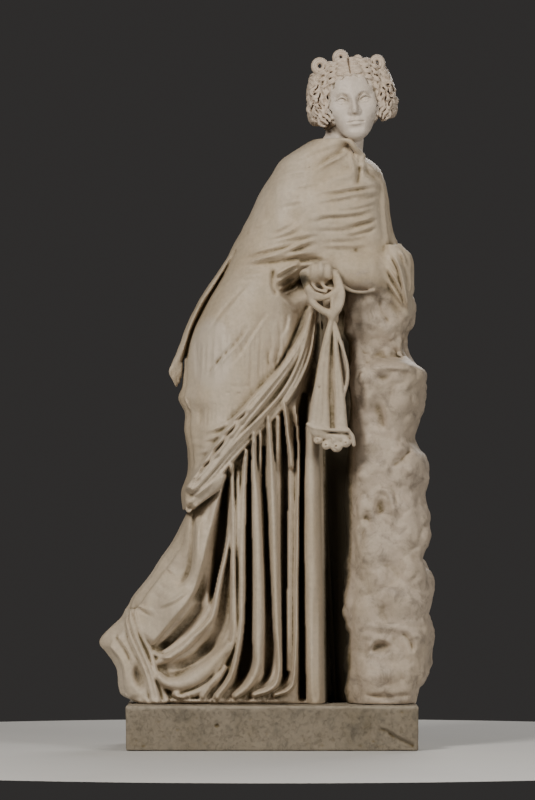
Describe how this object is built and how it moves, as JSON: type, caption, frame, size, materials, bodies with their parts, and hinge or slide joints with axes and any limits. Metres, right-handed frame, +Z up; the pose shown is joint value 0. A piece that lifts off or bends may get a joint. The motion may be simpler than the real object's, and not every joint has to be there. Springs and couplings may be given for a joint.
{
  "type": "classical marble statue",
  "caption": "Life-size draped marble woman leaning on a rough rock, with a let-in head, on a low stone plinth.",
  "frame": {"origin": "centre of the plinth's underside", "axes": "+X to the viewer's right towards the rock, +Y away from the viewer, +Z up; the figure faces -Y"},
  "size_m": [0.8432, 0.43, 1.7537],
  "materials": {
    "plinth_stone": "rough dark brown-grey stone with a paler worn top edge",
    "weathered_marble": "weathered warm marble, pale on raised folds, with brown dirt in the hollows",
    "white_marble": "fine pale marble, smoother and whiter than the body"
  },
  "bodies": {
    "root": {"plinth": "plinth_stone", "figure_with_rock": "weathered_marble", "head": "white_marble"}
  },
  "joints": []
}
